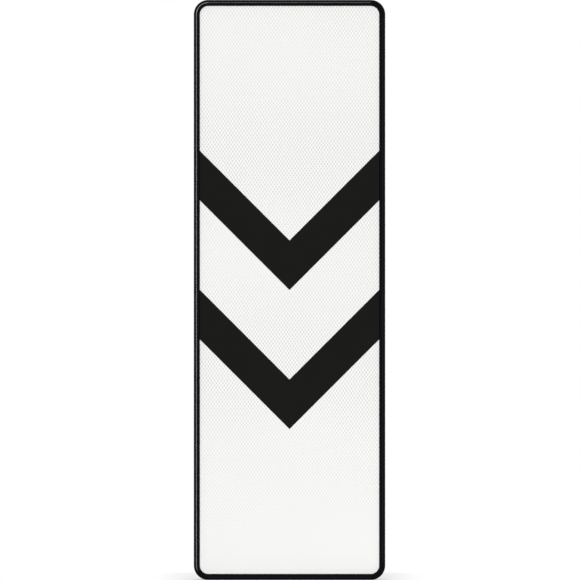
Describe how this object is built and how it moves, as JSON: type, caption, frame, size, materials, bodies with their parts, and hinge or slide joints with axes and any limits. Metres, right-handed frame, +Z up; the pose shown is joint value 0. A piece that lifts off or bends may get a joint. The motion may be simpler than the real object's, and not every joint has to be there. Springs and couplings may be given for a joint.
{
  "type": "chevron sign",
  "caption": "Tall narrow reflective road sign plate with black chevrons pointing down, a rounded black edge profile, and sliding clamp brackets at the back for a round post.",
  "frame": {"origin": "on the axis of the post that the brackets clamp, at the sign's mid-height", "axes": "+Z up along the post and the sign's height, -Y the way the face looks, +X to the right seen from the front"},
  "size_m": [0.33, 0.1188, 1],
  "materials": {
    "panel_aluminium": "rolled sheet, bare at the back",
    "white_sheeting": "retroreflective sheeting with a fine cell pattern",
    "black_film": "smooth satin film",
    "black_coating": "black powder coat on extruded aluminium",
    "mill_aluminium": "extruded, mill finish with fine die lines",
    "galvanised_steel": "hot-dip galvanised",
    "zinc_plated_steel": "bright zinc plate"
  },
  "bodies": {
    "sign": {"sign_panel": "panel_aluminium", "reflective_sheeting": "white_sheeting", "upper_chevron": "black_film", "lower_chevron": "black_film", "edge_profile": "black_coating", "joint_plate": "mill_aluminium", "joint_rivets": "mill_aluminium"},
    "upper_bracket": {"upper_rail": "mill_aluminium", "upper_saddle": "mill_aluminium", "upper_clamp_bolts": "zinc_plated_steel"},
    "upper_left_jaw": {"upper_left_jaw": "mill_aluminium", "upper_left_jaw_bolt": "zinc_plated_steel", "upper_left_jaw_washer": "zinc_plated_steel", "upper_left_jaw_nut": "zinc_plated_steel"},
    "upper_right_jaw": {"upper_right_jaw": "mill_aluminium", "upper_right_jaw_bolt": "zinc_plated_steel", "upper_right_jaw_washer": "zinc_plated_steel", "upper_right_jaw_nut": "zinc_plated_steel"},
    "upper_strap": {"upper_strap": "galvanised_steel", "upper_strap_washers": "zinc_plated_steel", "upper_strap_nuts": "zinc_plated_steel"},
    "lower_bracket": {"lower_rail": "mill_aluminium", "lower_saddle": "mill_aluminium", "lower_clamp_bolts": "zinc_plated_steel"},
    "lower_left_jaw": {"lower_left_jaw": "mill_aluminium", "lower_left_jaw_bolt": "zinc_plated_steel", "lower_left_jaw_washer": "zinc_plated_steel", "lower_left_jaw_nut": "zinc_plated_steel"},
    "lower_right_jaw": {"lower_right_jaw": "mill_aluminium", "lower_right_jaw_bolt": "zinc_plated_steel", "lower_right_jaw_washer": "zinc_plated_steel", "lower_right_jaw_nut": "zinc_plated_steel"},
    "lower_strap": {"lower_strap": "galvanised_steel", "lower_strap_washers": "zinc_plated_steel", "lower_strap_nuts": "zinc_plated_steel"}
  },
  "joints": [
    {"name": "upper_bracket_slide", "type": "slide", "parent": "sign", "child": "upper_bracket", "axis": [0, 0, 1], "range_m": [-0.25, 0.15]},
    {"name": "upper_left_jaw_slide", "type": "slide", "parent": "upper_bracket", "child": "upper_left_jaw", "axis": [1, 0, 0], "range_m": [0, 0.011]},
    {"name": "upper_right_jaw_slide", "type": "slide", "parent": "upper_bracket", "child": "upper_right_jaw", "axis": [-1, 0, 0], "range_m": [0, 0.011]},
    {"name": "upper_strap_release", "type": "slide", "parent": "upper_bracket", "child": "upper_strap", "axis": [0, 1, 0], "range_m": [0, 0.008]},
    {"name": "lower_bracket_slide", "type": "slide", "parent": "sign", "child": "lower_bracket", "axis": [0, 0, 1], "range_m": [-0.15, 0.25]},
    {"name": "lower_left_jaw_slide", "type": "slide", "parent": "lower_bracket", "child": "lower_left_jaw", "axis": [1, 0, 0], "range_m": [0, 0.011]},
    {"name": "lower_right_jaw_slide", "type": "slide", "parent": "lower_bracket", "child": "lower_right_jaw", "axis": [-1, 0, 0], "range_m": [0, 0.011]},
    {"name": "lower_strap_release", "type": "slide", "parent": "lower_bracket", "child": "lower_strap", "axis": [0, 1, 0], "range_m": [0, 0.008]}
  ]
}
